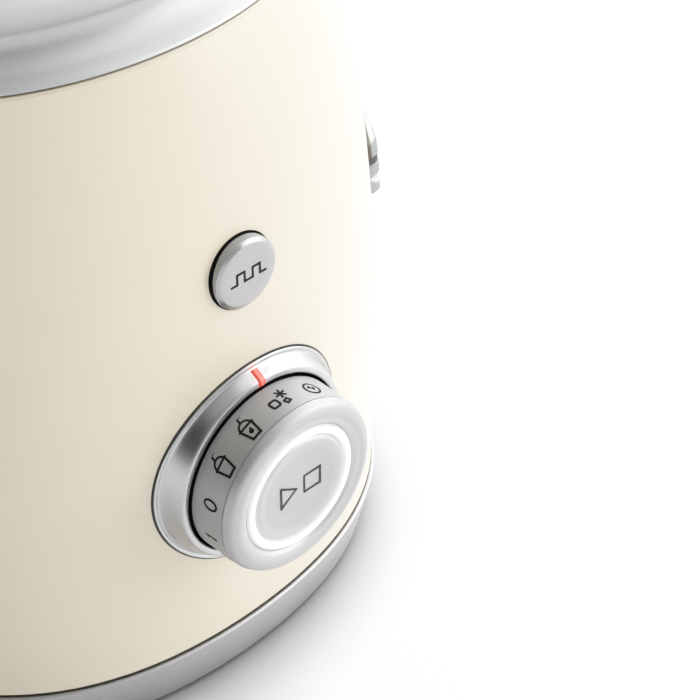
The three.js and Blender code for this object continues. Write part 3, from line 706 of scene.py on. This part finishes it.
CUP = [
    [(-1.7, 0.9), (-1.15, -2.6), (1.15, -2.6), (1.7, 0.9), (-1.7, 0.9)],
    [(-2.1, 0.9), (2.1, 0.9)],
    circle(0, 0.9, 1.55, 1.5, 12, 0, 180),
    [(-0.2, 2.3), (0.1, 3.7), (1.3, 4.0)],
]
SYMBOLS = {
    "0": [circle(0, 0, 1.1, 1.75)],
    "1": [[(-0.6, 0.9), (0.1, 1.6), (0.1, -1.6)]],
    "2": [circle(0, 0.7, 0.9, 0.9, 10, 160, -30) + [(-0.95, -1.6), (1.0, -1.6)]],
    "3": [circle(0, 0.8, 0.85, 0.8, 10, 150, -90) + circle(0, -0.8, 1.0, 0.8, 10, 90, -150)],
    "4": [[(0.5, -1.6), (0.5, 1.6), (-1.1, -0.7), (1.1, -0.7)]],
    "6": [[(0.7, 1.6), (-0.6, 0.5), *circle(0, -0.6, 0.95, 1.0, 16, 180, 520)]],
    "cup": CUP,
    "cup_and_fruit": CUP + [circle(0, -0.9, 0.32, 0.32, 10), [(0.1, -0.5), (0.45, 0.0)]],
    "ice": [
        *[[(1.6 + reach * math.cos(a), 1.8 + reach * math.sin(a)) for reach in (1.4, -1.4)]
          for a in np.radians([15, 75, 135])],
        [(-2.2, 1.1), (-0.8, 1.1), (-0.5, 0.8), (-0.5, -0.6), (-0.8, -0.9), (-2.2, -0.9), (-2.5, -0.6),
         (-2.5, 0.8), (-2.2, 1.1)],
        [(0.6, -0.5), (1.6, -0.1), (2.0, -1.1), (1.0, -1.5), (0.6, -0.5)],
    ],
    "clean": [circle(0, 0, 1.9), [(-0.9, 0.1), (-0.3, 0.8), (0.3, -0.4), (0.9, 0.4)]],
}
# Symbols in order round the skirt, one detent apart; the second is under the indicator at rest.
DIAL_ORDER = ["clean", "ice", "cup_and_fruit", "cup", "0", "1", "2", "3", "4"]
DETENT = JOINTS["dial_turn"]["range_deg"][1]
DIAL_STROKE, BUTTON_STROKE, JUG_STROKE = 0.52, 0.5, 0.6


def on_skirt(turn):
    centre = 87.9

    def place(across, up, height):
        radius = DIAL_R - 0.1 * MM + height * MM
        angle = math.radians(turn) - across * MM / DIAL_R
        return (radius * math.cos(angle), -(centre - up) * MM, DIAL_Z + radius * math.sin(angle))

    return place


def on_face(depth, axis_z, dome=0.0):
    """Places a mark on a button's face, which falls away from its centre by dome times the square."""

    def place(across, up, height):
        out = depth + height - dome * (across**2 + up**2)
        return (across * MM, -out * MM, axis_z + up * MM)

    return place


def add_symbols():
    strokes = []
    for i, name in enumerate(DIAL_ORDER):
        place = on_skirt(90 + (i - 1) * DETENT)
        strokes += [(points, DIAL_STROKE, place) for points in SYMBOLS[name]]
    symbol_piece("dial_symbols", strokes, M["ink"], "dial")

    start = [
        [(-5.4, -2.8), (-5.4, 2.8), (-0.9, 0), (-5.4, -2.8)],
        [(1.4, -2.3), (6.0, -2.3), (6.0, 2.3), (1.4, 2.3), (1.4, -2.3)],
    ]
    face = on_face(93.13, DIAL_Z, -0.004)
    strokes = [(points, BUTTON_STROKE, face) for points in start]
    symbol_piece("start_symbols", strokes, M["button_ink"], "start_button")

    wave = [
        (-4.8, -0.9), (-3.1, -0.9), (-3.1, 1.5), (-1.1, 1.5), (-1.1, -0.9), (1.1, -0.9), (1.1, 1.5),
        (3.1, 1.5), (3.1, -0.9), (4.8, -0.9),
    ]
    face = on_face(PULSE_FRONT / MM, PULSE_Z, 0.0018)
    symbol_piece("pulse_symbol", [(wave, BUTTON_STROKE, face)], M["ink"], "pulse_button")


add_symbols()

# ---- Jug collar ----


def add_collar():
    profile = rounded([
        (23.8, 171), (50, 171), (50, 155.8), (53.8, 155.8), (53.8, 160.5), (66.8, 160.5, 0.2),
        (67.15, 160.8, 0.2), (66.8, 161.3, 0.3), (62.6, 162.9, 8), (60.0, 165.6, 4), (59.5, 168.2, 3.0),
        (61.4, 175, 6), (60.9, 183, 6), (58.2, 191.3, 0.6), (56.1, 191.5, 0.3),
        (56.1, 174), (23.8, 174),
    ])
    collar = turned("collar_metal", profile, M["collar"], "jug", segments=256, square=True, smooth=30)
    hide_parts("jug_collar")


add_collar()

# ---- Trim emblem ----

EMBLEM_REACH = 52


def bent_rib(name, section, corner, material):
    """A raised rib along the body's +X side, with round top corners. Its section is (proud, z) in mm."""
    top = max(z for _, z, *_ in section)
    points = rounded(section)
    stations = np.sin(np.linspace(-math.pi / 2, math.pi / 2, 97))
    vertices = []
    for station in stations:
        end = min(EMBLEM_REACH * (1 - abs(station)) / 0.8, 1)
        swell = 0.3 + 0.7 * math.sqrt(1 - (1 - end) ** 2)
        for proud, z in points:
            above = max(z / MM - (top - corner), 0)
            y = station * (EMBLEM_REACH - corner + math.sqrt(max(corner**2 - above**2, 0))) * MM
            vertices.append((surface_depth(y, z, GAP + (proud - GAP) * swell), y, z))
    count = len(points)
    faces = grid_faces(len(stations), count, wrap_columns=True)
    faces += [tuple(range(count)), tuple(range(len(vertices) - 1, len(vertices) - count - 1, -1))]
    return mesh_piece(name, vertices, faces, material, "base", smooth=45)


def add_emblem():
    """Three plain silver ribs with a dark inlay, in place of lettering."""
    ribs = [
        [(0.4, 100), (0.4, 96.9), (2.9, 96.9, 0.3), (2.7, 100.5, 4), (1.1, 105.7, 0.8), (0.4, 105.8)],
        [(0.4, 93), (0.4, 90.9), (2.9, 91.4, 0.3), (2.9, 94.9, 0.3), (0.4, 94.9)],
        [(0.4, 88), (0.4, 86.5), (2.9, 86.5, 0.3), (2.9, 88.8, 0.4), (0.4, 90.4)],
    ]
    for name, section, corner in zip(("top", "middle", "low"), ribs, (9, 0.4, 0.4)):
        rib = bent_rib(f"emblem_rib_{name}", section, corner, M["bright"])
        if name == "top":
            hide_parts("trim_badge")
    bent_rib("emblem_inlay", [(0.35, 96), (0.35, 94.8), (2.6, 94.8), (2.6, 97), (0.35, 97)], 0.2, M["dark"])


add_emblem()

# ---- Jug and handle ----


def jug_radius(z):
    t = np.clip((z - JUG_NECK_Z) / (JUG_TOP - JUG_NECK_Z), 0, 1)
    return JUG_NECK_R + (JUG_RIM_R - JUG_NECK_R) * t**0.85


def spouted(vertices):
    """Pushes the rim out at -X into a spout."""
    x, y, z = np.array(vertices).T
    aside = np.arctan2(y, -x) / SPOUT_HALF_ANGLE
    across = np.where(np.abs(aside) < 1, np.cos(aside * math.pi / 2) ** 2, 0)
    up = np.clip((z - SPOUT_START) / (JUG_TOP - SPOUT_START), 0, 1) ** 2
    return np.stack([x - SPOUT_REACH * across * up, y, z], -1)


def on_jug(middle_z, azimuth):
    """Places a mark on the outside of the jug's wall."""

    def place(across, up, height):
        z = (middle_z + up) * MM
        angle = math.radians(azimuth) + across * MM / JUG_NECK_R
        radius = jug_radius(z) * plan_factor(BODY_R, angle, z) + height * MM
        return (radius * math.cos(angle), radius * math.sin(angle), z)

    return place


def add_jug():
    levels = np.linspace(JUG_NECK_Z / MM, JUG_TOP / MM - 1.4, 44)
    outside = [(jug_radius(z * MM) / MM, z) for z in levels]
    inside = [(r - JUG_WALL / MM, z) for r, z in reversed(outside)]
    top = JUG_TOP / MM
    profile = rounded([
        (23.8, 174.3), (54, 174.3, 0.8), (55.7, 176, 0.8), (55.7, 191.6, 0.8), *outside, (68.4, top, 0.9),
        (65.6, top, 0.9), *inside, (52.6, 190, 3), (51, 181.5, 2.5), (47, 178, 2.5), (23.8, 178),
    ])
    vertices, faces = turned_mesh(profile, 256, True)
    jug = mesh_piece("jug_wall", spouted(vertices), faces, M["clear"], "jug")
    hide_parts("jug_body")

    marks = []
    for count, z in enumerate((206, 231, 254, 276, 298, 319), 1):
        marks.append(([(-7, 0), (0 if count % 2 else 3, 0)], JUG_STROKE, on_jug(z, -90)))
        if count % 2 == 0:
            marks += [(points, JUG_STROKE, on_jug(z, -84)) for points in SYMBOLS[str(count)]]
    symbol_piece("jug_level_marks", marks, M["ink"], "jug")


def handle_stations():
    """Outer and inner (x, z) in mm along the handle, and how far each is from the jug's wall, 0 to 1."""
    low, mirror = HANDLE_LOW, HANDLE_LOW + HANDLE_HIGH
    stations = [((90, low), (87, low + 15), share) for share in np.linspace(0, 1, 10)[:-1]]
    for a in np.radians(np.linspace(-90, 0, 15)):
        outer = (90 + 20 * math.cos(a), low + 20 + 20 * math.sin(a))
        inner = (87 + 8 * math.cos(a), low + 23 + 8 * math.sin(a))
        stations.append((outer, inner, 1))
    mirrored = [
        ((outer[0], mirror - outer[1]), (inner[0], mirror - inner[1]), share)
        for outer, inner, share in reversed(stations)
    ]
    return stations + mirrored


def add_handle():
    """A rounded bar bent into a loop, its two ends shaped to the jug's wall."""
    ring = []
    for a in np.linspace(0, 2 * math.pi, 36, endpoint=False):
        c, d = math.cos(a), math.sin(a)
        ring.append((math.copysign(abs(c) ** 0.5, c), math.copysign(abs(d) ** 0.5, d)))
    vertices = []
    stations = handle_stations()
    for outer, inner, share in stations:
        for across, side in ring:
            half = (1 + across) / 2
            x = (inner[0] + (outer[0] - inner[0]) * half) * MM
            z = (inner[1] + (outer[1] - inner[1]) * half) * MM
            y = side * HANDLE_WIDTH / 2
            wall = (jug_radius(z) + GAP) * plan_factor(BODY_R, math.atan2(y, x), z)
            start = math.sqrt(wall**2 - y**2)
            vertices.append((start + (x - start) * share, y, z))
    count = len(ring)
    faces = grid_faces(len(stations), count, wrap_columns=True)
    faces += [tuple(range(count)), tuple(range(len(vertices) - 1, len(vertices) - count - 1, -1))]
    handle = mesh_piece("handle_grip", vertices, faces, M["satin"], "jug", smooth=60)
    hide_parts("jug_handle")


add_jug()
add_handle()

# ---- Lid, filler cap, blade hub and feet ----


def add_lid():
    lid = rounded([
        (58.2, 361), (61.2, 361, 0.5), (61.2, 370.3, 0.3), (70.5, 370.3, 0.5), (70.5, 374.8, 1.5),
        (68.5, 378.3, 3), (58, 385, 16), (26.5, 390, 2), (22.3, 390, 0.6), (22.3, 385, 0.5), (44, 383, 5),
        (58.2, 377, 3),
    ])
    cover = turned("lid_cover", lid, M["satin"], "lid", segments=256, square=True)
    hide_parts("lid")
    lip = rounded([
        (61.5, 363), (62.6, 363, 0.3), (64.7, 366, 0.3), (63.2, 367, 0.3), (64.2, 369, 0.3), (61.5, 369),
    ])
    gasket = turned("lid_gasket_lip", lip, M["rubber"], "lid", segments=256, square=True)
    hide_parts("lid_gasket")
    cup = rounded([
        (0, 393.5), (19.4, 393.5, 1.2), (19.4, 370, 0.5), (21.6, 370, 0.6), (21.8, 390.3, 0.4),
        (25.4, 390.3, 0.4), (25.4, 393.6, 1.2), (23, 396, 1.4), (0, 396),
    ])
    cap = turned("filler_cup", cup, M["clear"], "filler_cap", segments=128)
    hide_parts("filler_cap")


def add_blade_hub():
    profile = rounded([
        (7, 168), (23.4, 168, 0.6), (23.4, 179.9, 0.2), (30, 179.9, 0.3), (30, 182, 1), (24, 185, 6),
        (13, 190.5, 4), (7, 190.5),
    ])
    hub = turned("blade_hub_steel", profile, M["steel"], "jug", segments=128)
    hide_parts("blade_hub")


def add_feet():
    """Rubber feet with a shallow cup in the sole, pushed into the bottom plate."""
    profile = rounded([
        (0, -1.3), (5.4, -1.3, 0.4), (6.0, -2, 0.3), (8.5, -2, 0.7), (9, -0.3, 0.2), (3.8, -0.3), (3.8, 3.4),
        (5.2, 3.4, 0.2), (4, 5, 0.5), (0, 5),
    ])
    for i in range(1, 5):
        low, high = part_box(f"foot_{i}")
        vertices, faces = turned_mesh(profile, 64, False)
        vertices = vertices + np.array([(low.x + high.x) / 2, (low.y + high.y) / 2, 0])
        foot = mesh_piece(f"foot_pad_{i}", vertices, faces, M["rubber"], "base")
        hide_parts(f"foot_{i}")


add_lid()
add_blade_hub()
add_feet()

# ---- Everything that keeps its CAD shape ----

KEPT = {
    "steel": ["motor_frame_lower", "motor_frame_upper", "motor_stud_1", "motor_stud_2", "stator_core",
              "motor_shaft", "blade_shaft", "blade_nut", "lower_blade", "upper_blade", "jug_magnet",
              "base_screw_1", "base_screw_2", "base_screw_3", "base_screw_4"],
    "brass": ["lower_bearing", "upper_bearing", "brush_holder_left", "brush_holder_right", "blade_bush"],
    "copper": ["field_coil_front", "field_coil_rear", "rotor_core", "commutator"],
    "carbon": ["brush_left", "brush_right"],
    "dark": ["bottom_plate", "seat_deck", "reed_switch", "cooling_fan", "control_carrier", "encoder_wheel",
             "dial_hub", "hub_nut", "driven_coupling"],
    "board": ["control_board"],
    "rubber": ["drive_coupling", "cord_gland", "hub_gasket", "blade_seal"],
}


def finish_kept_nodes():
    for finish, names in KEPT.items():
        for name in names:
            for slot in NODES[name].material_slots:
                slot.material = M[finish]


finish_kept_nodes()

# ---- Floor and light ----


def add_floor():
    bpy.ops.mesh.primitive_plane_add(size=40, location=(0, 0, FLOOR_Z))
    floor = bpy.context.object
    floor.name = "floor"
    material = new_material("pale_floor", (0.93, 0.93, 0.93), 0, 0.6)
    tree = material.node_tree
    # The floor's colour darkens near the base by ambient occlusion: a painted contact shadow.
    shade = tree.nodes.new("ShaderNodeAmbientOcclusion")
    shade.inputs["Distance"].default_value = 22 * MM
    shade.samples = 8
    ramp = tree.nodes.new("ShaderNodeValToRGB")
    ramp.color_ramp.elements[0].position = 0.25
    ramp.color_ramp.elements[0].color = (0.12, 0.12, 0.12, 1)
    ramp.color_ramp.elements[1].color = (0.93, 0.93, 0.93, 1)
    tree.links.new(shade.outputs["AO"], ramp.inputs["Fac"])
    shader = tree.nodes["Principled BSDF"]
    tree.links.new(ramp.outputs["Color"], shader.inputs["Base Color"])
    # The floor also glows with that colour, more strongly towards +X: painted light, with the painted shadow
    # in it.
    tree.links.new(ramp.outputs["Color"], shader.inputs["Emission Color"])
    place = tree.nodes.new("ShaderNodeTexCoord")
    side = tree.nodes.new("ShaderNodeSeparateXYZ")
    lift = tree.nodes.new("ShaderNodeMapRange")
    lift.inputs["From Min"].default_value = -0.2
    lift.inputs["From Max"].default_value = 0.1
    lift.inputs["To Min"].default_value = 0.15
    lift.inputs["To Max"].default_value = 0.4
    tree.links.new(place.outputs["Object"], side.inputs[0])
    tree.links.new(side.outputs["X"], lift.inputs["Value"])
    tree.links.new(lift.outputs["Result"], shader.inputs["Emission Strength"])
    floor.data.materials.append(material)


def add_world():
    """A dim studio, pale at the horizon and darkest above the left."""
    world = bpy.data.worlds.new("studio")
    world.use_nodes = True
    tree = world.node_tree
    direction = tree.nodes.new("ShaderNodeTexCoord")
    height = tree.nodes.new("ShaderNodeSeparateXYZ")
    fade = tree.nodes.new("ShaderNodeMapRange")
    fade.interpolation_type = "SMOOTHSTEP"
    fade.inputs["From Min"].default_value = 0.03
    fade.inputs["From Max"].default_value = 0.28
    fade.inputs["To Min"].default_value = 1.3
    tree.links.new(direction.outputs["Generated"], height.inputs[0])
    tree.links.new(height.outputs["Z"], fade.inputs["Value"])
    leftward = tree.nodes.new("ShaderNodeVectorMath")
    leftward.operation = "DOT_PRODUCT"
    leftward.inputs[1].default_value = (-0.8, 0.6, 0)
    darken = tree.nodes.new("ShaderNodeMapRange")
    darken.interpolation_type = "SMOOTHSTEP"
    darken.inputs["From Min"].default_value = -0.1
    darken.inputs["From Max"].default_value = 0.8
    darken.inputs["To Min"].default_value = 0.3
    darken.inputs["To Max"].default_value = 0
    tree.links.new(direction.outputs["Generated"], leftward.inputs[0])
    tree.links.new(leftward.outputs["Value"], darken.inputs["Value"])
    tree.links.new(darken.outputs["Result"], fade.inputs["To Max"])
    background = tree.nodes["Background"]
    background.inputs["Color"].default_value = (1, 1, 1, 1)
    tree.links.new(fade.outputs["Result"], background.inputs["Strength"])
    bpy.context.scene.world = world


def soft_sun(name, toward, spread, strength):
    """A broad, even light from one direction, given as a vector that points to it."""
    data = bpy.data.lights.new(name, "SUN")
    data.energy = strength
    data.angle = math.radians(spread)
    light = bpy.data.objects.new(name, data)
    light.rotation_euler = Vector(toward).to_track_quat("Z", "Y").to_euler()
    bpy.context.scene.collection.objects.link(light)


def soften_highlights():
    """Rolls bright tones off smoothly to white, which is reached at twice the display's plain white."""
    view = bpy.context.scene.view_settings
    view.view_transform = "Standard"
    view.use_curve_mapping = True
    curves = view.curve_mapping
    curves.white_level = (2, 2, 2)
    for share in (0.125, 0.25, 0.375, 0.5, 0.625, 0.75, 0.875):
        curves.curves[3].points.new(share, 1 - (1 - share) ** 2)
    curves.update()


def add_lights():
    add_world()
    soft_sun("far", (0.7, 0.7, 0.5), 50, 3.3)
    soft_sun("right_low", (0.8, -0.6, 0.3), 50, 2.5)
    soft_sun("right", (1, 0.1, 0.4), 50, 2.0)
    soft_sun("right_high", (1, -0.5, 1.2), 60, 1.25)
    soft_sun("overhead", (0, 0, 1), 70, 0.4)
    soft_sun("front", (-0.25, -0.97, 0.3), 60, 0.3)
    soften_highlights()


add_floor()
add_lights()
